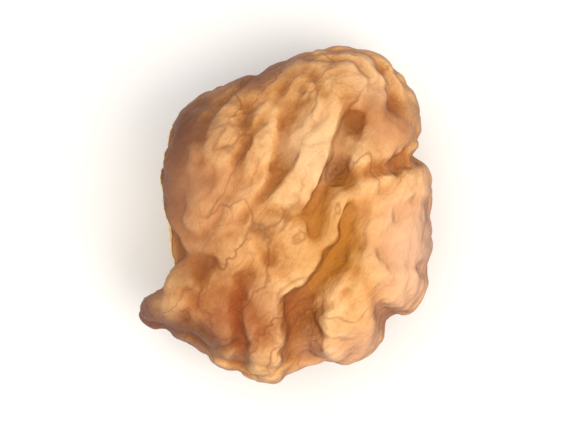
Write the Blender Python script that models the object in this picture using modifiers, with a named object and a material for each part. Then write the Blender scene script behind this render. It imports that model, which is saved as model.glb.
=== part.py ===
"""A broken lobe of walnut kernel, lying with its outer side up.

The frame is +Z up. The origin is under the middle of the piece, on the flat snapped face that it rests on.
A kernel fills its shell as it grows, and the script works as the nut did: winding ridges are laid just
under the shell's inner wall, fused with a core, and pressed flat against that wall. A rough break then
ends the piece on the left, and a flat one underneath cuts the root that joined it to the kernel's other
half.
"""

import math

import bmesh
import bpy
import numpy as np
from mathutils import Matrix, Vector, noise

MM = 0.001

# The shell's inner wall round this lobe, in millimetres: half widths at the rim, where the lobe is widest,
# how far the wall rises above the rim and falls below it, and the rim's height over the resting face.
WALL_X = 8.6
WALL_Y = 10.0
WALL_UP = 6.8
WALL_DOWN = 3.0
RIM_HEIGHT = 3.5

# Where the wall leaves that oval: the bearing from +X and the spread in degrees, and the share by which
# it swells out or, below zero, lies in.
SWELLS = ((46.0, 22.0, 0.15), (110.0, 28.0, -0.20), (-27.0, 14.0, 0.07), (-148.0, 10.0, 0.15))

# The core that the ridges stand out of: shares of the wall's half widths and depths.
CORE_WIDE = 0.93
CORE_UP = 0.86
CORE_DOWN = 0.50

# How deep a ridge's centre line lies under the wall, in ridge radii, and how much of what stands past
# the wall is left once the wall has pressed it flat.
RIDGE_SINK = 0.72
PRESSED_SHARE = 0.30

# Each ridge of the outer side as (x, y, radius) in millimetres, seen from above. Then come the degrees by
# which its end curls under the rim, 0 for one that stays on top, and its sideways drift there in degrees.
RIDGES = {
    "left_dome": ([(-5.6, 5.0, 2.0), (-5.4, 2.8, 2.5), (-5.3, 0.6, 2.5), (-4.9, -1.2, 2.0)], 0, 0),
    "dome_top": ([(-3.6, 5.6, 1.5), (-3.7, 3.4, 1.6), (-3.6, 1.2, 1.7), (-3.9, -0.9, 1.5)], 0, 0),
    "upper_edge": ([(-5.6, 6.0, 1.6), (-3.2, 7.0, 1.7), (-0.6, 8.0, 1.7), (2.0, 8.9, 1.6)], 30, 8),
    "dome_rib": ([(-1.2, 6.4, 1.2), (-1.5, 4.2, 1.3), (-2.0, 2.0, 1.3), (-2.9, 0.2, 1.2)], 0, 0),
    "main_ridge": (
        [
            (4.3, 9.0, 1.6),
            (2.4, 5.6, 1.7),
            (1.1, 3.0, 1.5),
            (0.0, 0.6, 1.6),
            (-1.4, -1.4, 1.7),
            (-3.2, -2.3, 1.5),
        ],
        0,
        0,
    ),
    "knob": ([(5.9, 9.0, 1.5), (7.3, 7.3, 1.7), (7.4, 5.3, 1.7), (6.0, 4.2, 1.5), (4.6, 3.6, 1.3)], 0, 0),
    "knob_inner": ([(5.0, 7.6, 1.3), (5.2, 6.2, 1.2)], 0, 0),
    "centre_knob": ([(0.4, -1.0, 1.5), (0.9, -2.6, 1.6), (0.0, -3.8, 1.4)], 0, 0),
    "valley_step": ([(2.9, 0.9, 1.1), (2.6, -0.9, 1.2)], 0, 0),
    "right_lobe": ([(4.9, 1.3, 1.5), (6.6, 1.1, 2.1)], 60, 6),
    "right_middle": ([(5.4, -0.6, 1.7), (7.0, -1.3, 2.1)], 50, -5),
    "lower_right_lobe": ([(5.0, -2.7, 1.6), (6.6, -3.9, 2.1)], 60, 4),
    "bottom_lobe": ([(3.5, -4.9, 1.8), (3.9, -7.2, 2.3)], 70, 4),
    "bottom_middle_lobe": ([(-1.0, -3.9, 1.4), (-1.4, -6.0, 1.6), (-1.5, -8.7, 1.5)], 45, -7),
    "bottom_left_lobe": ([(-3.7, -3.7, 1.3), (-4.1, -5.6, 1.6), (-3.8, -7.7, 1.7)], 65, 5),
    "tail_root": ([(-5.7, -4.4, 1.4), (-5.6, -6.4, 1.6)], 40, 4),
    "tail": ([(-6.0, -3.8, 1.2), (-7.0, -5.1, 1.4), (-8.1, -5.7, 1.4)], 20, 3),
}

# The deep furrows of the outer side, as points (x, y) seen from above, with the half width and the depth,
# in millimetres. Those that reach the outline notch it.
FURROWS = {
    "right_of_main": ([(3.6, 6.2), (3.6, 4.4), (2.8, 2.6), (1.9, 0.8), (1.6, -0.8)], 0.70, 0.40),
    "left_of_main": ([(1.8, 7.0), (0.3, 4.0), (-0.9, 1.7), (-2.3, -0.3)], 0.45, 0.45),
    "left_of_rib": ([(-2.4, 6.2), (-2.7, 3.8), (-2.9, 2.0)], 0.40, 0.35),
    "on_dome": ([(-4.6, 5.4), (-4.7, 2.4), (-4.4, -0.2)], 0.40, 0.20),
    "under_knob": ([(3.2, 2.6), (5.2, 2.6), (7.2, 2.8), (9.4, 3.2)], 0.55, 0.55),
    "right_edge": ([(5.2, 0.3), (7.0, -0.1), (9.4, -0.3)], 0.40, 0.20),
    "lower_right": ([(5.6, -1.9), (7.4, -2.8), (9.4, -3.6)], 0.40, 0.20),
    "corner": ([(4.4, -3.6), (5.8, -5.4), (8.0, -7.2)], 0.40, 0.20),
    "middle": (
        [(4.1, 0.4), (3.6, -1.8), (2.6, -3.8), (1.1, -5.6), (0.9, -7.6), (1.1, -10.5)],
        0.75,
        0.70,
    ),
    "lower_left": ([(-1.6, -3.8), (-2.5, -5.0), (-2.7, -7.0), (-2.9, -10.5)], 0.50, 0.50),
    "above_tail": ([(-3.6, -2.4), (-4.8, -3.8), (-5.0, -6.4), (-5.4, -8.5)], 0.45, 0.30),
}

# The share of its depth that a furrow keeps at the rim.
RIM_SHARE = 0.2

# Ridges of the inner side, each as its bearing from +X, where it starts and ends below the rim, and how
# far it drifts sideways on the way, all in degrees, and its radius in millimetres.
INNER_RIDGES = {
    "under_knob": (36, 8, 70, -9, 1.9),
    "under_top": (66, 10, 52, 6, 1.8),
    "under_upper_edge": (97, 20, 68, 10, 1.9),
    "under_shoulder": (130, 20, 60, -6, 1.9),
}

# The root in the middle of the inner side, which grew on across to the kernel's other half, as
# (x, y, height, radius) in millimetres. The piece snapped off there and rests on the stump.
ROOT = [(-1.3, 2.6, 2.1, 3.2), (-0.5, 0.2, 2.1, 3.7), (-0.1, -2.4, 2.1, 3.2)]

# The break on the left, as (y, x) in millimetres at BREAK_HEIGHT: it runs straight down the side, cuts in
# above the tail and leaves the tail standing out. It leans out towards the top by BREAK_LEAN.
BREAK_LINE = [
    (-14.0, -14.0),
    (-6.4, -11.0),
    (-5.0, -8.8),
    (-4.3, -6.7),
    (-3.4, -5.9),
    (-1.0, -6.3),
    (2.5, -6.9),
    (14.0, -7.6),
]
BREAK_HEIGHT = 5.0
BREAK_LEAN = 0.32

# The sheet that the break is cut with, in millimetres: its length, its height and its grid's step, and how
# far off to the left the block behind it ends.
BREAK_LONG = 28.0
BREAK_TALL = 18.0
BREAK_STEP = 0.40
BREAK_BACK = 30.0

# The break's roughness as (amount, size along y, size along z) in millimetres, and the seed.
BREAK_ROUGH = ((0.55, 3.1, 2.4, 4.0), (0.28, 1.2, 1.0, 9.0))

# The block under the resting face is a cube with this side, in millimetres.
FLOOR_BLOCK = 40.0

# How the surface wanders from its smooth shape: the size of the lumps, the shift in millimetres, and
# where in the random field it starts. The random field itself has its own seed.
WANDERINGS = ((5.0, 0.50, 3.7), (2.0, 0.22, 11.3))
FIELD_SEED = 4

# Creases as the size of the pattern and their depth in millimetres, the share of the pattern that they
# take up, and the seed.
CREASES = ((3.4, 0.26, 0.10, 2.0), (1.8, 0.14, 0.12, 8.0))

# The grid of the remeshing and the step between the balls of a ridge in millimetres, and about how many
# triangles the piece ends with.
VOXEL = 0.20
BALL_STEP = 0.45
TRIANGLES = 10500

# Edges sharper than this many degrees are shaded as edges.
SHARP_EDGE = 50

SKIN_COLOUR = (0.52, 0.27, 0.10, 1.0)
SKIN_ROUGHNESS = 0.55


def clear_scene():
    for found in list(bpy.data.objects):
        bpy.data.objects.remove(found, do_unlink=True)


def swell(bearing):
    """How far the wall stands out of its oval on this bearing, as a factor."""
    out = 1.0
    for middle, spread, share in SWELLS:
        off = (math.degrees(bearing) - middle + 180) % 360 - 180
        out += share * math.exp(-((off / spread) ** 2))
    return out


def on_disc(x, y):
    """The wall's point over (x, y) as a place on a disc, where 1 is the rim and 0 the top."""
    bearing = math.atan2(y / WALL_Y, x / WALL_X)
    reach = min(math.hypot(x / WALL_X, y / WALL_Y) / swell(bearing), 1.0)
    out = math.asin(reach) / (math.pi / 2)
    return Vector((out * math.cos(bearing), out * math.sin(bearing)))


def wall_at(disc):
    """The wall's point at a place on the disc, in millimetres, and the way the wall faces there."""
    tilt = disc.length * math.pi / 2
    bearing = math.atan2(disc.y, disc.x)
    depth = WALL_UP if tilt <= math.pi / 2 else WALL_DOWN
    across = math.sin(tilt) * swell(bearing)
    point = Vector(
        (
            WALL_X * across * math.cos(bearing),
            WALL_Y * across * math.sin(bearing),
            depth * math.cos(tilt) + RIM_HEIGHT,
        )
    )
    outward = Vector(
        (
            math.sin(tilt) * math.cos(bearing) / WALL_X,
            math.sin(tilt) * math.sin(bearing) / WALL_Y,
            math.cos(tilt) / depth,
        )
    )
    return point, outward.normalized()


def turned(place, degrees):
    turn = math.radians(degrees)
    cosine = math.cos(turn)
    sine = math.sin(turn)
    return Vector((place.x * cosine - place.y * sine, place.x * sine + place.y * cosine))


def ridge_route(points, curl, drift):
    """A ridge's route as places on the disc with radii, carried on under the rim by its curl."""
    route = [(on_disc(x, y), radius) for x, y, radius in points]
    if curl:
        end, radius = route[-1]
        way = end.normalized()
        route.append((turned(way, drift / 3) * (1 + curl / 180), radius))
        route.append((turned(way, drift) * (1 + curl / 90), radius * 0.85))
    return [Vector((place.x, place.y, radius)) for place, radius in route]


def inner_route(bearing, start, end, drift, radius):
    """A route on the inner side, inward from near the rim."""
    way = Vector((math.cos(math.radians(bearing)), math.sin(math.radians(bearing))))
    places = [
        turned(way, drift * part) * (1 + (start + (end - start) * part) / 90) for part in (0, 0.5, 1)
    ]
    return [Vector((place.x, place.y, radius)) for place in places]


def smooth_route(route):
    """Catmull-Rom points along a route, a short step apart."""
    padded = [route[0]] + route + [route[-1]]
    made = [route[0]]
    for before, start, end, after in zip(padded, padded[1:], padded[2:], padded[3:]):
        length = (end.xy - start.xy).length * WALL_Y * math.pi / 2
        steps = max(1, round(length / BALL_STEP))
        for step in range(1, steps + 1):
            t = step / steps
            made.append(
                0.5
                * (
                    2 * start
                    + (end - before) * t
                    + (2 * before - 5 * start + 4 * end - after) * t**2
                    + (3 * start - before - 3 * end + after) * t**3
                )
            )
    return made


def add_ball(bm, centre, radius):
    place = Matrix.Translation(centre * MM)
    bmesh.ops.create_icosphere(bm, subdivisions=2, radius=radius * MM, matrix=place)


def add_core(bm):
    """The core: an icosphere stretched to its share of the wall, flatter below the rim than above."""
    made = bmesh.ops.create_icosphere(bm, subdivisions=5, radius=1.0)
    for vertex in made["verts"]:
        down = WALL_UP * CORE_UP if vertex.co.z > 0 else WALL_DOWN * CORE_DOWN
        vertex.co = Vector(
            (
                vertex.co.x * WALL_X * CORE_WIDE * MM,
                vertex.co.y * WALL_Y * CORE_WIDE * MM,
                (vertex.co.z * down + RIM_HEIGHT) * MM,
            )
        )


def grown_shapes():
    """The core, the root and every ridge as loose overlapping shapes in one mesh."""
    bm = bmesh.new()
    add_core(bm)
    for x, y, height, radius in ROOT:
        add_ball(bm, Vector((x, y, height)), radius)
    routes = [ridge_route(*ridge) for ridge in RIDGES.values()]
    routes += [inner_route(*ridge) for ridge in INNER_RIDGES.values()]
    for route in routes:
        for place in smooth_route(route):
            point, outward = wall_at(place.xy)
            add_ball(bm, point - outward * place.z * RIDGE_SINK, place.z)
    mesh = bpy.data.meshes.new("kernel")
    bm.to_mesh(mesh)
    bm.free()
    return mesh


def with_modifier(obj, kind, **settings):
    modifier = obj.modifiers.new(kind.title(), kind)
    for name, value in settings.items():
        setattr(modifier, name, value)
    return modifier


def apply_modifiers(obj):
    bpy.context.view_layer.update()
    made = bpy.data.meshes.new_from_object(obj.evaluated_get(bpy.context.evaluated_depsgraph_get()))
    obj.modifiers.clear()
    obj.data = made


def coordinates(mesh):
    flat = np.empty(len(mesh.vertices) * 3)
    mesh.vertices.foreach_get("co", flat)
    return flat.reshape(-1, 3) / MM


def set_coordinates(mesh, points):
    mesh.vertices.foreach_set("co", (points * MM).ravel())
    mesh.update()


def press_against_wall(mesh):
    """Moves what stands past the shell's wall back towards it, as growth against the shell does.

    The root in the middle of the inner side grew past the wall, so it is left.
    """
    points = coordinates(mesh)
    middle = np.array([0.0, 0.0, RIM_HEIGHT])
    away = points - middle
    depth = np.where(away[:, 2] > 0, WALL_UP, WALL_DOWN)
    bearings = np.arctan2(away[:, 1] / WALL_Y, away[:, 0] / WALL_X)
    swells = np.array([swell(bearing) for bearing in bearings])
    across = np.hypot(away[:, 0] / WALL_X, away[:, 1] / WALL_Y) / swells
    level = np.hypot(across, away[:, 2] / depth)
    at_root = np.clip((0.85 - across) / 0.25, 0, 1) * (away[:, 2] < 0)
    share = PRESSED_SHARE + (1 - PRESSED_SHARE) * at_root
    pressed = np.where(level > 1, (1 + (level - 1) * share) / level, 1.0)
    set_coordinates(mesh, middle + away * pressed[:, None])


def wander(mesh, size, amount, start):
    """Shifts the surface by a smooth random field with lumps of this size, so that nothing is regular."""
    points = coordinates(mesh)
    shifts = [noise.noise_vector(Vector(p) / size + Vector((start, 0, 0))) for p in points]
    set_coordinates(mesh, points + amount * np.array(shifts))


def furrow(mesh, points, half_width, depth):
    """Sinks the outer side along a line seen from above. It is shallower at the rim and ends under it."""
    found = coordinates(mesh)
    near = np.full(len(found), np.inf)
    for start, end in zip(points, points[1:]):
        start = np.array(start)
        along = np.array(end) - start
        part = np.clip((found[:, :2] - start) @ along / (along @ along), 0, 1)
        gap = np.linalg.norm(found[:, :2] - start - part[:, None] * along, axis=1)
        near = np.minimum(near, gap)
    inward = np.array([0.0, 0.0, RIM_HEIGHT - 1.0]) - found
    inward /= np.linalg.norm(inward, axis=1)[:, None]
    sink = depth * np.exp(-((near / half_width) ** 2)) * np.clip(found[:, 2] / 2.5, 0, 1)
    sink *= np.clip((found[:, 2] - RIM_HEIGHT) / 2.5, RIM_SHARE, 1)
    set_coordinates(mesh, found + inward * sink[:, None])


def crease(mesh, size, depth, width, seed):
    """Cuts a winding net of creases: the surface sinks where a random field passes through zero."""
    points = coordinates(mesh)
    normals = np.empty(len(mesh.vertices) * 3)
    mesh.vertices.foreach_get("normal", normals)
    shift = Vector((seed, -seed, seed))
    field = np.array([noise.noise(Vector(p) / size + shift) for p in points])
    sink = depth * np.exp(-((field / width) ** 2))
    set_coordinates(mesh, points - normals.reshape(-1, 3) * sink[:, None])


def break_block(collection):
    """The block that the break is cut with: a rough sheet across the left side, closed far outside it."""
    bm = bmesh.new()
    along = round(BREAK_LONG / BREAK_STEP)
    up = round(BREAK_TALL / BREAK_STEP)
    bmesh.ops.create_grid(bm, x_segments=along, y_segments=up, size=0.5)
    line_y, line_x = zip(*BREAK_LINE)
    for vertex in bm.verts:
        y = vertex.co.x * BREAK_LONG
        z = BREAK_HEIGHT + vertex.co.y * BREAK_TALL
        x = np.interp(y, line_y, line_x) - BREAK_LEAN * (z - BREAK_HEIGHT)
        for amount, size_y, size_z, seed in BREAK_ROUGH:
            x += amount * noise.noise(Vector((y / size_y, z / size_z, seed)))
        vertex.co = Vector((x, y, z)) * MM
    sheet = list(bm.faces)
    made = bmesh.ops.extrude_face_region(bm, geom=sheet)["geom"]
    for vertex in made:
        if isinstance(vertex, bmesh.types.BMVert):
            vertex.co.x = -BREAK_BACK * MM
    bmesh.ops.recalc_face_normals(bm, faces=bm.faces)
    return cutter("break_cutter", bm, collection)


def floor_block(collection):
    """The block that takes off everything under the resting face."""
    bm = bmesh.new()
    place = Matrix.Translation((0, 0, -FLOOR_BLOCK / 2 * MM))
    bmesh.ops.create_cube(bm, size=FLOOR_BLOCK * MM, matrix=place)
    return cutter("floor_cutter", bm, collection)


def cutter(name, bm, collection):
    mesh = bpy.data.meshes.new(name)
    bm.to_mesh(mesh)
    bm.free()
    block = bpy.data.objects.new(name, mesh)
    block.hide_render = True
    block.display_type = "WIRE"
    collection.objects.link(block)
    return block


def keep_largest_shell(mesh):
    """Drops loose crumbs that a cut leaves."""
    bm = bmesh.new()
    bm.from_mesh(mesh)
    left = set(bm.verts)
    shells = []
    while left:
        edge = {left.pop()}
        shell = set(edge)
        while edge:
            near = {other for vertex in edge for link in vertex.link_edges for other in link.verts}
            edge = near - shell
            shell |= edge
        left -= shell
        shells.append(shell)
    shells.sort(key=len)
    crumbs = [vertex for shell in shells[:-1] for vertex in shell]
    bmesh.ops.delete(bm, geom=crumbs, context="VERTS")
    bm.to_mesh(mesh)
    bm.free()


def centre(mesh):
    """Puts the middle of the bounding box over the origin. The height is left as it is."""
    points = coordinates(mesh)
    middle = (points.min(axis=0) + points.max(axis=0)) / 2
    middle[2] = 0
    set_coordinates(mesh, points - middle)


def skin():
    material = bpy.data.materials.new("Walnut skin")
    material.use_nodes = True
    shader = material.node_tree.nodes["Principled BSDF"]
    shader.inputs["Base Color"].default_value = SKIN_COLOUR
    shader.inputs["Roughness"].default_value = SKIN_ROUGHNESS
    return material


def main():
    clear_scene()
    home = bpy.data.collections.new("Walnut kernel")
    cutters = bpy.data.collections.new("Cutters")
    for collection in (home, cutters):
        bpy.context.scene.collection.children.link(collection)
    cutters.hide_render = True
    kernel = bpy.data.objects.new("kernel", grown_shapes())
    home.objects.link(kernel)
    with_modifier(kernel, "REMESH", mode="VOXEL", voxel_size=VOXEL * MM)
    apply_modifiers(kernel)
    for line in FURROWS.values():
        furrow(kernel.data, *line)
    noise.seed_set(FIELD_SEED)
    for size, amount, start in WANDERINGS:
        wander(kernel.data, size, amount, start)
    press_against_wall(kernel.data)
    with_modifier(kernel, "SMOOTH", factor=0.5, iterations=4)
    apply_modifiers(kernel)
    for size, depth, width, seed in CREASES:
        crease(kernel.data, size, depth, width, seed)
    with_modifier(kernel, "REMESH", mode="VOXEL", voxel_size=VOXEL * MM)
    with_modifier(kernel, "SMOOTH", factor=0.5, iterations=1)
    with_modifier(kernel, "BOOLEAN", operation="DIFFERENCE", object=break_block(cutters))
    apply_modifiers(kernel)
    keep_largest_shell(kernel.data)
    triangles = sum(len(face.vertices) - 2 for face in kernel.data.polygons)
    with_modifier(kernel, "DECIMATE", ratio=TRIANGLES / triangles)
    with_modifier(kernel, "BOOLEAN", operation="DIFFERENCE", object=floor_block(cutters))
    apply_modifiers(kernel)
    keep_largest_shell(kernel.data)
    centre(kernel.data)
    kernel.data.shade_smooth()
    kernel.data.set_sharp_from_angle(angle=math.radians(SHARP_EDGE))
    kernel.data.materials.clear()
    kernel.data.materials.append(skin())


main()
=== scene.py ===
# %% [markdown]
# # A broken lobe of walnut kernel
#
# This lesson dresses one piece of shelled walnut, about 20 mm long, seen from straight above. The solid
# that comes with it already has the ridges and the deep furrows. What it lacks is what makes a walnut
# look real up close: fine wrinkles in the papery skin, darker furrows, thin veins, and pale rough flesh
# where it snapped.

import math

import bmesh
import bpy
import numpy as np
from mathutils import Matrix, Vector, noise


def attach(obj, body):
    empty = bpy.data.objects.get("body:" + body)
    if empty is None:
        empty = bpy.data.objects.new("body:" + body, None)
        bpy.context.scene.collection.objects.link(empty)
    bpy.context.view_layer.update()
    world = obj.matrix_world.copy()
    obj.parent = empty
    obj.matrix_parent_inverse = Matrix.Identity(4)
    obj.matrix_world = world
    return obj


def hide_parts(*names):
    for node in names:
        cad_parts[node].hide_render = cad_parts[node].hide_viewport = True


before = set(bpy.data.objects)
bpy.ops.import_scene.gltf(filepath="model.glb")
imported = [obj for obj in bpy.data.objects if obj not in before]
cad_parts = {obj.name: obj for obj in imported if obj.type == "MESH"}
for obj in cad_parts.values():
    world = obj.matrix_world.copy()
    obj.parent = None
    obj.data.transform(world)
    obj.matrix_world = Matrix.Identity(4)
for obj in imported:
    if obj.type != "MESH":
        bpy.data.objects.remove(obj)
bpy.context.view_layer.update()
MM = 0.001
kernel_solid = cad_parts["kernel"]


# %% [markdown]
# Colours are given as sRGB hex values, the way a paint program shows them. Blender's shaders
# work in linear light, so one function turns a hex value to linear. Another adds a node with its
# settings and links, because every tree below is built in the same way. A third turns and squeezes a
# place, so that a pattern read there is drawn out along the ridges: veins and wrinkles both grew that
# way.


# %% Helpers
RIDGE_TURN = math.radians(34)
RIDGE_STRETCH = (1.0, 0.35, 0.75)


def linear(hex_colour):
    """The linear RGBA of an sRGB hex value such as c98b4e."""
    parts = [int(hex_colour[at : at + 2], 16) / 255 for at in (0, 2, 4)]
    light = [part / 12.92 if part <= 0.04045 else ((part + 0.055) / 1.055) ** 2.4 for part in parts]
    return [*light, 1.0]


def add_node(tree, kind, links=None, **settings):
    """Adds a node. links gives its inputs by name or number: a socket is linked, a value is set."""
    node = tree.nodes.new(kind)
    for name, value in settings.items():
        setattr(node, name, value)
    for name, value in (links or {}).items():
        socket = node.inputs[name]
        if isinstance(value, bpy.types.NodeSocket):
            tree.links.new(value, socket)
        else:
            socket.default_value = value
    return node


def along_ridges(tree, place):
    """A place turned and squeezed so that a pattern read there is drawn out along the ridges."""
    turned = add_node(
        tree, "ShaderNodeVectorRotate", {"Vector": place, "Angle": RIDGE_TURN}, rotation_type="Z_AXIS"
    )
    return add_node(
        tree, "ShaderNodeVectorMath", {0: turned.outputs[0], 1: RIDGE_STRETCH}, operation="MULTIPLY"
    ).outputs[0]


print("skin mid tone in linear light:", [round(part, 3) for part in linear("c98b4e")])


# %% [markdown]
# ## A finer mesh of the same shape
#
# The solid has about ten thousand loose triangles, some of them half a millimetre long. Wrinkles a tenth
# of that need a finer mesh. A voxel remesh lays an even grid of small quads over the shape, and a few
# rounds of smoothing take away the solid's facets. The solid itself is left alone: the copy is merged
# and remeshed.

# %% Remesh the kernel's surface
GRID = 0.12 * MM
MERGED_WITHIN = 0.001 * MM
SMOOTHING_ROUNDS = 3


def plain_mesh(obj):
    """The object's mesh with its modifiers applied, as a new mesh."""
    bpy.context.view_layer.update()
    graph = bpy.context.evaluated_depsgraph_get()
    return bpy.data.meshes.new_from_object(obj.evaluated_get(graph))


def merged_copy(source):
    """A copy of a solid's mesh with its loose triangles joined."""
    bm = bmesh.new()
    bm.from_mesh(source.data)
    bmesh.ops.remove_doubles(bm, verts=bm.verts, dist=MERGED_WITHIN)
    mesh = bpy.data.meshes.new("walnut_lobe")
    bm.to_mesh(mesh)
    bm.free()
    return mesh


lobe = bpy.data.objects.new("walnut_lobe", merged_copy(kernel_solid))
bpy.context.scene.collection.objects.link(lobe)
remesh = lobe.modifiers.new("Even grid", "REMESH")
remesh.mode = "VOXEL"
remesh.voxel_size = GRID
smooth = lobe.modifiers.new("Facets away", "SMOOTH")
smooth.factor = 0.5
smooth.iterations = SMOOTHING_ROUNDS
lobe.data = plain_mesh(lobe)
lobe.modifiers.clear()
print(len(lobe.data.vertices), "points,", len(lobe.data.polygons), "faces")


# %% [markdown]
# ## Where the skin ends
#
# The papery skin covers only what grew. Where the piece snapped, pale flesh shows: on the left side, and
# on the flat stump underneath. The left break is a sheet whose place follows from a line seen from above
# and two sizes of roughness, so the same sheet is worked out here, and each point's gap to it says which
# points lie on it. The share of bare flesh is kept as an attribute, which the wrinkles and the material
# both read.

# %% Mark the bare flesh
BREAK_LINE = [
    (-14.0, -14.0),
    (-6.4, -11.0),
    (-5.0, -8.8),
    (-4.3, -6.7),
    (-3.4, -5.9),
    (-1.0, -6.3),
    (2.5, -6.9),
    (14.0, -7.6),
]
BREAK_HEIGHT = 5.0
BREAK_LEAN = 0.32
BREAK_ROUGH = ((0.55, 3.1, 2.4, 4.0), (0.28, 1.2, 1.0, 9.0))
CENTRED_BY = np.array([0.108, -0.108, 0.0])
ON_BREAK = (0.08, 0.26)
ON_STUMP = (0.06, 0.16)


def break_gap(point):
    """How far a point lies inside the break's sheet, in millimetres."""
    x, y, z = point
    line_y, line_x = zip(*BREAK_LINE)
    sheet = np.interp(y, line_y, line_x) - BREAK_LEAN * (z - BREAK_HEIGHT)
    for depth, long, tall, layer in BREAK_ROUGH:
        sheet += depth * noise.noise(Vector((y / long, z / tall, layer)))
    return x - sheet


def fade(values, full, none):
    """1 up to full, 0 from none on, and a straight fade between them."""
    return np.clip((none - values) / (none - full), 0, 1)


points = np.empty(len(lobe.data.vertices) * 3)
lobe.data.vertices.foreach_get("co", points)
points = points.reshape(-1, 3) / MM
break_gaps = np.array([break_gap(point) for point in points + CENTRED_BY])
bare = np.maximum(fade(break_gaps, *ON_BREAK), fade(points[:, 2], *ON_STUMP))
lobe.data.attributes.new("bare", "FLOAT", "POINT").data.foreach_set("value", bare)
print(f"bare flesh on {bare.mean():.0%} of the points")


# %% [markdown]
# ## What the skin is
#
# Walnut skin is a pellicle: a thin, dry, tan paper full of tannin, stuck to oily flesh. It gives a dull
# sheen with soft edges, because light also goes a little way into the flesh under it. It is pale where
# ridges were pressed against the shell and brown in the furrows, where the brown is partly its own tannin
# and partly painted shade. Thin brown veins run over it. The flesh is cream and rougher, and it glows
# more, because nothing covers it.
#
# The material reads four attributes of the mesh. The relief, further down, stores how hollow the surface
# is over a short distance and over a long one, and how far it is turned to the side. The fourth is how
# bare it is.

# %% Make the skin and flesh material
# The furrow browns also carry painted shade where the ramp puts them in the hollows.
SKIN_PRESSED = linear("e9b57a")
SKIN_OPEN = linear("d19354")
SKIN_FURROW = linear("a8652a")
SKIN_DEEP = linear("8c5020")
SKIN_SIDE_SHADE = linear("6a3a22")
TINT_PATCH = 5.0 * MM
SKIN_ATTRIBUTES = ("hollow_short", "hollow_long", "side_on", "bare")


def painted(colour, measure, none_at, full_at, strength, paint):
    """Mixes a paint over a colour: none where the measure is none_at, by strength from full_at on."""
    share = add_node(
        tree, "ShaderNodeMapRange", {0: measure, 1: none_at, 2: full_at, 3: 0.0, 4: strength}
    ).outputs[0]
    return add_node(tree, "ShaderNodeMix", {0: share, 6: colour, 7: paint}, data_type="RGBA").outputs[2]


skin = bpy.data.materials.new("Walnut pellicle over broken flesh")
skin.use_nodes = True
tree = skin.node_tree
shader = tree.nodes["Principled BSDF"]
place = add_node(tree, "ShaderNodeTexCoord").outputs["Object"]
hollow_short, hollow_long, side_on, bareness = (
    add_node(tree, "ShaderNodeAttribute", attribute_name=name).outputs["Fac"] for name in SKIN_ATTRIBUTES
)
patches = add_node(
    tree,
    "ShaderNodeTexNoise",
    {"Vector": place, "Scale": 1 / TINT_PATCH, "Detail": 4.0, "Roughness": 0.6},
).outputs["Fac"]
print("material:", skin.name, "reads", ", ".join(SKIN_ATTRIBUTES))

# %% [markdown]
# The hollows are stored in millimetres, negative on a ridge. A little noise is added before the colour
# ramp reads them, so that the change from tan to brown doesn't follow the shape too exactly. The brown
# that the ramp gives the hollows is partly the skin's tannin and partly painted shade. Small creases are
# then painted browner, again partly as painted shade, and small crests paler, and two sizes of speckle
# break the tone up, because tannin dries in specks. Real specks are finer: these are as fine as the
# picture shows.

# %% Colour the skin by how hollow it is, with painted shade in the hollows
TONE_AND_SHADE_STOPS = ((0.0, SKIN_PRESSED), (0.30, SKIN_OPEN), (0.58, SKIN_FURROW), (0.88, SKIN_DEEP))
SPECKLES = ((0.20 * MM, 0.24), (0.80 * MM, 0.18))
SHORT_SHARE = 0.8
PALEST_AT = -0.35
DARKEST_AT = 0.60
UNEVENNESS = 0.55
hollow = add_node(
    tree, "ShaderNodeMath", {0: hollow_short, 1: SHORT_SHARE, 2: hollow_long}, operation="MULTIPLY_ADD"
).outputs[0]
hollow = add_node(tree, "ShaderNodeMapRange", {0: hollow, 1: PALEST_AT, 2: DARKEST_AT}).outputs[0]
uneven = add_node(tree, "ShaderNodeMath", {0: patches, 1: 0.5}, operation="SUBTRACT").outputs[0]
tone = add_node(
    tree, "ShaderNodeMath", {0: uneven, 1: UNEVENNESS, 2: hollow}, operation="MULTIPLY_ADD"
).outputs[0]
tone_and_shade_ramp = add_node(tree, "ShaderNodeValToRGB", {"Fac": tone})
stops = tone_and_shade_ramp.color_ramp.elements
while len(stops) < len(TONE_AND_SHADE_STOPS):
    stops.new(0.5)
for stop, (at, colour) in zip(stops, TONE_AND_SHADE_STOPS):
    stop.position = at
    stop.color = colour
skin_colour = tone_and_shade_ramp.outputs["Color"]
# Browner small creases: partly tannin, partly painted shade in the creases.
skin_colour = painted(skin_colour, hollow_short, 0.01, 0.07, 0.45, SKIN_FURROW)
skin_colour = painted(skin_colour, hollow_short, -0.01, -0.10, 0.45, SKIN_PRESSED)
for size, strength in SPECKLES:
    dots = add_node(
        tree, "ShaderNodeTexNoise", {"Vector": place, "Scale": 1 / size, "Detail": 3.0, "Roughness": 0.65}
    ).outputs["Fac"]
    skin_colour = painted(skin_colour, dots, 0.52, 0.72, strength, SKIN_FURROW)
    skin_colour = painted(skin_colour, dots, 0.48, 0.28, 0.5 * strength, SKIN_PRESSED)
print(len(TONE_AND_SHADE_STOPS), "tones and", len(SPECKLES), "sizes of speckle")

# %% [markdown]
# Veins run along the ridges, because both grew that way, from the upper right to the lower left. A noise
# passes through its middle value along thin winding lines, so the veins are drawn there. Its input is
# turned and squeezed, which stretches the lines along the ridges, and a second noise bends them and lets
# them fade.

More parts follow.
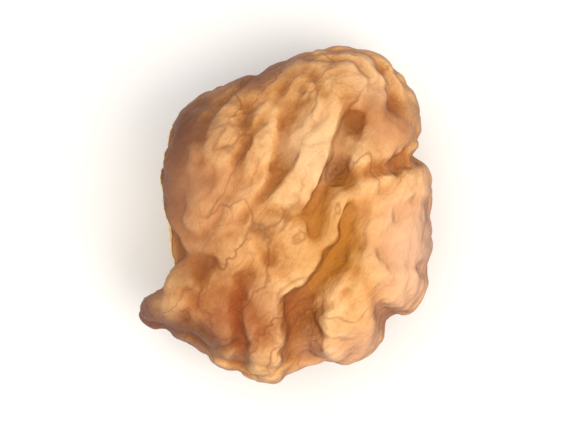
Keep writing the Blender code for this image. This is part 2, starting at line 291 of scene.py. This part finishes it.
# %% Draw the veins
VEIN = linear("7d4419")
VEIN_BEND = 2.2 * MM
VEIN_LAYERS = ((2.6 * MM, 0.022, 0.75), (1.17 * MM, 0.035, 0.30))
bend = add_node(tree, "ShaderNodeTexNoise", {"Vector": place, "Scale": 1 / VEIN_BEND, "Detail": 3.0})
shift = add_node(
    tree, "ShaderNodeVectorMath", {0: bend.outputs["Color"], 1: (0.5, 0.5, 0.5)}, operation="SUBTRACT"
)
bent = add_node(
    tree,
    "ShaderNodeVectorMath",
    {0: shift.outputs[0], 1: [VEIN_BEND] * 3, 2: place},
    operation="MULTIPLY_ADD",
).outputs[0]
along = along_ridges(tree, bent)
fading = add_node(tree, "ShaderNodeMapRange", {0: patches, 1: 0.38, 2: 0.62, 3: 0.35, 4: 1.0}).outputs[0]
for spacing, width, strength in VEIN_LAYERS:
    field = add_node(tree, "ShaderNodeTexNoise", {"Vector": along, "Scale": 1 / spacing, "Detail": 1.5})
    aside = add_node(tree, "ShaderNodeMath", {0: field.outputs[0], 1: 0.5}, operation="SUBTRACT")
    aside = add_node(tree, "ShaderNodeMath", {0: aside.outputs[0]}, operation="ABSOLUTE")
    line = add_node(
        tree, "ShaderNodeMapRange", {0: aside.outputs[0], 1: 0.0, 2: width, 3: strength, 4: 0.0}
    )
    line = add_node(tree, "ShaderNodeMath", {0: line.outputs[0], 1: fading}, operation="MULTIPLY")
    skin_colour = painted(skin_colour, line.outputs[0], 0.0, 1.0, 1.0, VEIN)
print("veins every", [round(spacing / MM, 1) for spacing, width, strength in VEIN_LAYERS], "mm")

# %% [markdown]
# No lobe has quite the next one's tone. In the photograph the left side is a dark brown that fades over
# the dome, the long valley is golden, the lobes on the right are peach with a duller edge, and a russet
# stain lies in the furrow at the lower left. The dark patches on the left side, the left foot and the
# tail are partly the skin's own brown and partly painted shade, and those on the shoulder and the upper
# edge
# are painted shade: these sides are turned from the light. The peach of the right lobes and the lower
# right foot is partly painted highlight, and the pale patches on the main ridge, the knob and the lobe
# corner are painted highlights. Each is a soft patch round a point of the surface, given with its reach
# in millimetres, its colour and its strength. Last, every side is painted darker the more it turns from
# upright: painted shade.

# %% Tint the lobes, and paint shade and highlights on them
TINTS_AND_PAINTED_LIGHT = {
    # Painted shade, partly over the skin's own brown: the left side and the left foot.
    "dark left side, part painted shade": ((-6.9, 3.6, 7.8), 3.6, "4c220a", 0.97),
    "dark left foot, part painted shade": ((-6.9, 1.1, 7.6), 3.3, "5a2e0e", 0.88),
    "brown under dome": ((-5.0, -2.3, 7.6), 3.0, "8a4c18", 0.75),
    # Painted shade on the shoulder and the upper edge.
    "painted shade on the shoulder": ((-6.2, 6.2, 6.4), 3.5, "5c3018", 0.85),
    "painted shade on the upper edge": ((-1.8, 9.4, 5.0), 3.8, "6a3a22", 0.78),
    "dusky dome": ((-4.5, 1.0, 8.0), 4.5, "c0805c", 0.35),
    "brown knob": ((6.0, 5.3, 8.0), 3.2, "9c5526", 0.60),
    "golden valley": ((2.8, -1.4, 8.0), 4.0, "bd7a20", 0.66),
    # Partly painted highlight: the peach of the right lobes and of the foot.
    "peach lobes, part painted highlight": ((7.8, -2.0, 6.0), 5.0, "deae8e", 0.66),
    "peach foot, part painted highlight": ((3.8, -8.0, 5.0), 3.6, "ebb48e", 0.50),
    "russet stain": ((-2.4, -5.4, 7.5), 4.0, "8c380a", 0.68),
    "dull right edge": ((9.4, -1.4, 5.0), 3.6, "b8947a", 0.65),
    "dull knob edge": ((9.6, 5.6, 6.0), 3.2, "8a6440", 0.65),
    "dark foot side": ((-4.4, -7.0, 6.4), 2.2, "5a2c0a", 0.75),
    # Painted highlights on the main ridge and the knob top.
    "painted highlight on the main ridge": ((1.6, 4.0, 9.6), 2.6, "f2c592", 0.50),
    "painted highlight on the knob top": ((5.0, 8.0, 7.6), 2.4, "f0c090", 0.40),
    "warm comma": ((3.4, 3.8, 7.4), 2.4, "99602c", 0.62),
    # Painted highlights on the lobe corner and the knob tip.
    "painted highlight on the lobe corner": ((5.3, 0.1, 8.4), 2.3, "f4b882", 0.28),
    "painted highlight on the knob tip": ((5.7, 4.2, 8.2), 1.7, "ecb07c", 0.28),
    # Partly painted shade at the tail.
    "brown tail, part painted shade": ((-8.2, -6.2, 5.0), 4.4, "6a3620", 0.92),
}
TINT_CORE = 0.40
for at, reach, colour, strength in TINTS_AND_PAINTED_LIGHT.values():
    gap = add_node(
        tree, "ShaderNodeVectorMath", {0: bent, 1: Vector(at) * MM}, operation="DISTANCE"
    ).outputs["Value"]
    skin_colour = painted(skin_colour, gap, reach * MM, TINT_CORE * reach * MM, strength, linear(colour))
# Painted shade: the more a place turns to the side, the browner it is painted.
skin_colour = painted(skin_colour, side_on, 0.30, 0.80, 0.75, SKIN_SIDE_SHADE)
print("tints:", ", ".join(TINTS_AND_PAINTED_LIGHT))

# %% [markdown]
# The flesh is cream, with slightly darker hollows where grains broke out. Its edge against the skin
# shows the skin's own thickness as a thin brown line, so the mix to brown peaks where a little under half
# of the surface is bare.

# %% Colour the flesh and its brown edge
FLESH = linear("ecd3a0")
FLESH_DEEP = linear("cfa865")
GRAIN = 0.7 * MM
EDGE_AT = 0.42
FLESH_FROM = 0.45
ALL_FLESH_FROM = 0.75
grains = add_node(
    tree, "ShaderNodeTexNoise", {"Vector": place, "Scale": 1 / GRAIN, "Detail": 5.0}
).outputs[0]
flesh_colour = painted(FLESH, grains, 0.42, 0.66, 1.0, FLESH_DEEP)
base_colour = painted(skin_colour, bareness, FLESH_FROM, ALL_FLESH_FROM, 1.0, flesh_colour)
off_edge = add_node(tree, "ShaderNodeMath", {0: bareness, 1: EDGE_AT}, operation="SUBTRACT").outputs[0]
off_edge = add_node(tree, "ShaderNodeMath", {0: off_edge}, operation="ABSOLUTE").outputs[0]
base_colour = painted(base_colour, off_edge, 0.38, 0.10, 0.75, SKIN_DEEP)
tree.links.new(base_colour, shader.inputs["Base Color"])
print("flesh grains", round(GRAIN / MM, 1), "mm across")

# %% [markdown]
# The fine relief that a mesh can't hold, strands a quarter of a millimetre wide and the pores between
# them, is left to a bump. The skin is dry paper, so its sheen is weak, but oil gives the ridges a little
# more of it and the roughness falls there. Light scatters red furthest in oily flesh.

# %% Finish the surface
STRAND = 0.28 * MM
STRAND_HEIGHT = 0.12 * MM
PORE = 0.12 * MM
PORE_HEIGHT = 0.04 * MM
RIDGE_ROUGHNESS = 0.44
FURROW_ROUGHNESS = 0.66
SKIN_GLOW = 0.03
FLESH_GLOW = 0.30
strands = add_node(
    tree, "ShaderNodeTexNoise", {"Vector": along, "Scale": 1 / STRAND, "Detail": 3.0, "Roughness": 0.6}
).outputs["Fac"]
pores = add_node(
    tree, "ShaderNodeTexNoise", {"Vector": place, "Scale": 1 / PORE, "Detail": 3.0, "Roughness": 0.7}
).outputs["Fac"]
bumps = add_node(tree, "ShaderNodeBump", {"Height": strands, "Strength": 1.0, "Distance": STRAND_HEIGHT})
bumps = add_node(
    tree,
    "ShaderNodeBump",
    {"Height": pores, "Strength": 0.8, "Distance": PORE_HEIGHT, "Normal": bumps.outputs["Normal"]},
)
tree.links.new(bumps.outputs["Normal"], shader.inputs["Normal"])
dullness = add_node(
    tree, "ShaderNodeMapRange", {0: hollow_long, 1: -0.2, 2: 0.3, 3: RIDGE_ROUGHNESS, 4: FURROW_ROUGHNESS}
).outputs[0]
tree.links.new(dullness, shader.inputs["Roughness"])
glow = add_node(
    tree,
    "ShaderNodeMapRange",
    {0: bareness, 1: FLESH_FROM, 2: ALL_FLESH_FROM, 3: SKIN_GLOW, 4: FLESH_GLOW},
).outputs[0]
tree.links.new(glow, shader.inputs["Subsurface Weight"])
shader.inputs["Subsurface Radius"].default_value = (1.0, 0.55, 0.25)
shader.inputs["Subsurface Scale"].default_value = 0.6 * MM
shader.inputs["IOR"].default_value = 1.46
shader.inputs["Specular IOR Level"].default_value = 0.22
print("roughness", RIDGE_ROUGHNESS, "on ridges to", FURROW_ROUGHNESS, "in furrows")


# %% [markdown]
# ## Fine relief
#
# Geometry Nodes suit relief that follows a rule all over a surface. First the deepest furrows are
# bridged, because the skin dries across them and doesn't line them: those places are pushed out along
# their normal, and then rounded. Next the ridges are made crisper: each point moves away from a blurred
# copy of the surface, the way a picture is sharpened. Then the skin gets fine wrinkles, from a noise
# folded at its middle so that it has narrow valleys. Bare flesh gets crumbly pits instead, and only
# inward, so the flat stump stays the lowest face. Last, the tree stores what the material reads: how
# hollow each point is, as its gap to a surface blurred over a short and over a long distance, and how
# far it is turned to the side.

# %% Build the relief tree
relief = bpy.data.node_groups.new("Walnut relief", "GeometryNodeTree")
relief.is_modifier = True
relief.interface.new_socket("Surface", in_out="INPUT", socket_type="NodeSocketGeometry")
relief.interface.new_socket("Surface", in_out="OUTPUT", socket_type="NodeSocketGeometry")
SIZES = {
    "Bridged past": 0.20 * MM,
    "Sharpening": 0.25,
    "Wrinkle size": 1.1 * MM,
    "Wrinkle depth": 0.05 * MM,
    "Fold size": 0.40 * MM,
    "Fold depth": 0.035 * MM,
    "Crumb size": 0.9 * MM,
    "Crumb depth": 0.80 * MM,
}
for name in SIZES:
    relief.interface.new_socket(name, in_out="INPUT", socket_type="NodeSocketFloat")
inlet = add_node(relief, "NodeGroupInput")
position = add_node(relief, "GeometryNodeInputPosition").outputs[0]
normal = add_node(relief, "GeometryNodeInputNormal").outputs[0]
bare_share = add_node(
    relief, "GeometryNodeInputNamedAttribute", {"Name": "bare"}, data_type="FLOAT"
).outputs["Attribute"]
print("relief inputs:", ", ".join(SIZES))


# %% [markdown]
# Every step of the tree moves the surface by a share of some way. Blurring the positions gives a smoother
# surface to compare with: the way from a point to it, measured along the normal, says how hollow the
# surface is there.

# %% Functions for its steps
FOLD_WIDTH = 1 / 7


def way_to_blurred(rounds):
    """The way from each point to the surface blurred over this many rounds."""
    blurred = add_node(
        relief,
        "GeometryNodeBlurAttribute",
        {"Value": position, "Iterations": rounds},
        data_type="FLOAT_VECTOR",
    ).outputs["Value"]
    return add_node(
        relief, "ShaderNodeVectorMath", {0: blurred, 1: position}, operation="SUBTRACT"
    ).outputs[0]


def hollow_over(rounds):
    """How hollow the surface is over the reach of a blur, and below zero how much it stands out."""
    return add_node(
        relief, "ShaderNodeVectorMath", {0: way_to_blurred(rounds), 1: normal}, operation="DOT_PRODUCT"
    ).outputs["Value"]


def shifted(surface, way, share):
    """The surface with each point moved by a share of a way."""
    offset = add_node(
        relief, "ShaderNodeVectorMath", {0: way, "Scale": share}, operation="SCALE"
    ).outputs[0]
    return add_node(relief, "GeometryNodeSetPosition", {"Geometry": surface, "Offset": offset}).outputs[0]


def noise_of(kind, detail, place=position):
    """A noise whose size is the tree's input for this kind of relief."""
    scale = add_node(
        relief, "ShaderNodeMath", {0: 1.0, 1: inlet.outputs[f"{kind} size"]}, operation="DIVIDE"
    ).outputs[0]
    return add_node(
        relief,
        "ShaderNodeTexNoise",
        {"Vector": place, "Scale": scale, "Detail": detail, "Roughness": 0.55},
    ).outputs[0]


def valleys(kind):
    """-1 in narrow winding valleys that run along the ridges, and 0 between them."""
    field = noise_of(kind, 2.0, along_ridges(relief, position))
    aside = add_node(relief, "ShaderNodeMath", {0: field, 1: 0.5}, operation="SUBTRACT").outputs[0]
    aside = add_node(relief, "ShaderNodeMath", {0: aside}, operation="ABSOLUTE").outputs[0]
    return add_node(
        relief, "ShaderNodeMapRange", {0: aside, 1: 0.0, 2: FOLD_WIDTH, 3: -1.0, 4: 0.0}
    ).outputs[0]


print("steps defined")

# %% [markdown]
# Each round of a blur reaches one quad further, so many rounds find whole furrows and a few find
# wrinkles.

# %% Bridge the furrows and sharpen the ridges
FURROW_ROUNDS = 160
PIT_ROUNDS = 40
RIDGE_ROUNDS = 10
WRINKLE_ROUNDS = 8
BRIDGED_SHARE = 0.70
skin_share = add_node(relief, "ShaderNodeMath", {0: 1.0, 1: bare_share}, operation="SUBTRACT").outputs[0]
too_deep = add_node(
    relief,
    "ShaderNodeMath",
    {0: hollow_over(FURROW_ROUNDS), 1: inlet.outputs["Bridged past"]},
    operation="SUBTRACT",
).outputs[0]
filled = add_node(
    relief, "ShaderNodeMapRange", {0: too_deep, 1: 0.0, 2: 1.0, 3: 0.0, 4: BRIDGED_SHARE}
).outputs[0]
surface = shifted(inlet.outputs["Surface"], normal, filled)
rounding = add_node(
    relief,
    "ShaderNodeMapRange",
    {0: hollow_over(FURROW_ROUNDS), 1: 0.12 * MM, 2: 0.40 * MM, 3: 0.0, 4: 0.85},
).outputs[0]
surface = shifted(surface, way_to_blurred(PIT_ROUNDS), rounding)
sharpening = add_node(
    relief, "ShaderNodeMath", {0: inlet.outputs["Sharpening"], 1: skin_share}, operation="MULTIPLY"
).outputs[0]
away = add_node(relief, "ShaderNodeMath", {0: sharpening, 1: -1.0}, operation="MULTIPLY").outputs[0]
surface = shifted(surface, way_to_blurred(RIDGE_ROUNDS), away)
print("blurred over", FURROW_ROUNDS, PIT_ROUNDS, RIDGE_ROUNDS, "and", WRINKLE_ROUNDS, "rounds")

# %% [markdown]
# Wrinkles are deepest where the skin had room to fold, in the furrows, and shallow on the pressed
# ridges.

# %% Wrinkle the skin and pit the flesh
CRUMBS_FROM = 0.42
folding = add_node(
    relief,
    "ShaderNodeMapRange",
    {0: hollow_over(FURROW_ROUNDS), 1: -0.25 * MM, 2: 0.25 * MM, 3: 0.35, 4: 1.0},
).outputs[0]
folding = add_node(relief, "ShaderNodeMath", {0: folding, 1: skin_share}, operation="MULTIPLY").outputs[0]
pits = add_node(
    relief,
    "ShaderNodeMapRange",
    {0: noise_of("Crumb", 6.0), 1: CRUMBS_FROM, 2: 1.0, 3: 0.0, 4: CRUMBS_FROM - 1.0},
).outputs[0]
layers = (
    ("Wrinkle", valleys("Wrinkle"), folding),
    ("Fold", valleys("Fold"), folding),
    ("Crumb", pits, bare_share),
)
for kind, height, where in layers:
    depth = inlet.outputs[f"{kind} depth"]
    height = add_node(relief, "ShaderNodeMath", {0: height, 1: depth}, operation="MULTIPLY").outputs[0]
    height = add_node(relief, "ShaderNodeMath", {0: height, 1: where}, operation="MULTIPLY").outputs[0]
    surface = shifted(surface, normal, height)
print("layers:", ", ".join(layer[0] for layer in layers))

# %% [markdown]
# The hollows are measured once more on the finished relief, so that the colour follows the wrinkles too.
# They are stored in millimetres, which the colour ramp and the roughness read.

# %% Store what the material reads, and end the tree
upward = add_node(relief, "ShaderNodeSeparateXYZ", {0: normal}).outputs[2]
read_by_skin = {
    "hollow_short": add_node(
        relief, "ShaderNodeMath", {0: hollow_over(WRINKLE_ROUNDS), 1: 1 / MM}, operation="MULTIPLY"
    ),
    "hollow_long": add_node(
        relief, "ShaderNodeMath", {0: hollow_over(FURROW_ROUNDS), 1: 1 / MM}, operation="MULTIPLY"
    ),
    "side_on": add_node(relief, "ShaderNodeMath", {0: 1.0, 1: upward}, operation="SUBTRACT"),
}
for name, node in read_by_skin.items():
    surface = add_node(
        relief,
        "GeometryNodeStoreNamedAttribute",
        {"Geometry": surface, "Name": name, "Value": node.outputs[0]},
        data_type="FLOAT",
        domain="POINT",
    ).outputs[0]
surface = add_node(relief, "GeometryNodeRealizeInstances", {0: surface}).outputs[0]
surface = add_node(relief, "GeometryNodeSetMaterial", {"Geometry": surface, "Material": skin}).outputs[0]
add_node(relief, "NodeGroupOutput", {"Surface": surface})
print(len(relief.nodes), "nodes in the relief tree")

# %% [markdown]
# A modifier's inputs are set by the identifier that Blender gave each socket, and before the object is
# first evaluated. The result becomes a plain mesh, so that nothing live is left on the piece.

# %% Run the relief tree
modifier = lobe.modifiers.new("Relief", "NODES")
modifier.node_group = relief
for socket in relief.interface.items_tree:
    if socket.name in SIZES:
        modifier[socket.identifier] = SIZES[socket.name]
lobe.data = plain_mesh(lobe)
lobe.modifiers.clear()
lobe.data.shade_smooth()
for name in ("hollow_short", "hollow_long"):
    values = np.empty(len(lobe.data.vertices))
    lobe.data.attributes[name].data.foreach_get("value", values)
    print(name, "from", np.percentile(values, 5).round(3), "to", np.percentile(values, 95).round(3), "mm")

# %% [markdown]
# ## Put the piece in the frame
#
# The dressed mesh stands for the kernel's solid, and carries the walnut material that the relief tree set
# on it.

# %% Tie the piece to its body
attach(lobe, "root")
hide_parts("kernel")
print("piece:", lobe.name)

# %% [markdown]
# ## The set
#
# The photograph looks straight down on a white ground, under soft bright light. A large soft lamp to the
# right and a little in front gives the ridges their lit right sides, a weak one fills the left, and the
# rest comes from an even white sky.

# %% Floor, lamps and sky
FLOOR_HALF = 400 * MM
FLOOR_COLOUR = "f4f2ee"


def flat_floor():
    """A pale square under the piece, well wider than any view."""
    mesh = bpy.data.meshes.new("floor")
    corners = [(x * FLOOR_HALF, y * FLOOR_HALF, 0) for x, y in ((-1, -1), (1, -1), (1, 1), (-1, 1))]
    mesh.from_pydata(corners, [], [(0, 1, 2, 3)])
    material = bpy.data.materials.new("Matt white board")
    material.use_nodes = True
    board = material.node_tree.nodes["Principled BSDF"]
    board.inputs["Base Color"].default_value = linear(FLOOR_COLOUR)
    board.inputs["Roughness"].default_value = 0.9
    mesh.materials.append(material)
    floor = bpy.data.objects.new("floor", mesh)
    bpy.context.scene.collection.objects.link(floor)


def soft_lamp(name, at, side, watts, colour):
    """A square lamp at a place in millimetres, turned to the piece."""
    light = bpy.data.lights.new(name, "AREA")
    light.size = side * MM
    light.energy = watts
    light.color = linear(colour)[:3]
    lamp = bpy.data.objects.new(name, light)
    lamp.location = Vector(at) * MM
    lamp.rotation_euler = (Vector((0, 0, 5)) - Vector(at)).to_track_quat("-Z", "Y").to_euler()
    bpy.context.scene.collection.objects.link(lamp)


flat_floor()
soft_lamp("key", (160, -110, 230), 240, 0.55, "fff6ea")
soft_lamp("fill", (-150, 150, 230), 240, 0.12, "f2f5ff")
world = bpy.data.worlds.new("White room")
world.use_nodes = True
world.node_tree.nodes["Background"].inputs["Color"].default_value = linear("ffffff")
world.node_tree.nodes["Background"].inputs["Strength"].default_value = 0.98
bpy.context.scene.world = world
bpy.context.scene.view_settings.view_transform = "Standard"
print("lamps: key and fill")

# %% [markdown]
# The camera looks straight down, as in the photograph, with a long lens so that the sides don't flare
# out. The piece fills most of the picture's height.

# %% Camera
LENS = 100.0
SENSOR = 36.0
PICTURE_WIDTH = 33.0 * MM
MIDDLE_HEIGHT = 5.0 * MM
camera_data = bpy.data.cameras.new("overhead")
camera_data.lens = LENS
camera_data.sensor_width = SENSOR
camera_data.clip_start = 1 * MM
camera = bpy.data.objects.new("overhead", camera_data)
camera.location = (0, 0, MIDDLE_HEIGHT + PICTURE_WIDTH * LENS / SENSOR)
bpy.context.scene.collection.objects.link(camera)
bpy.context.scene.camera = camera
print("camera", round(camera.location.z / MM), "mm up")
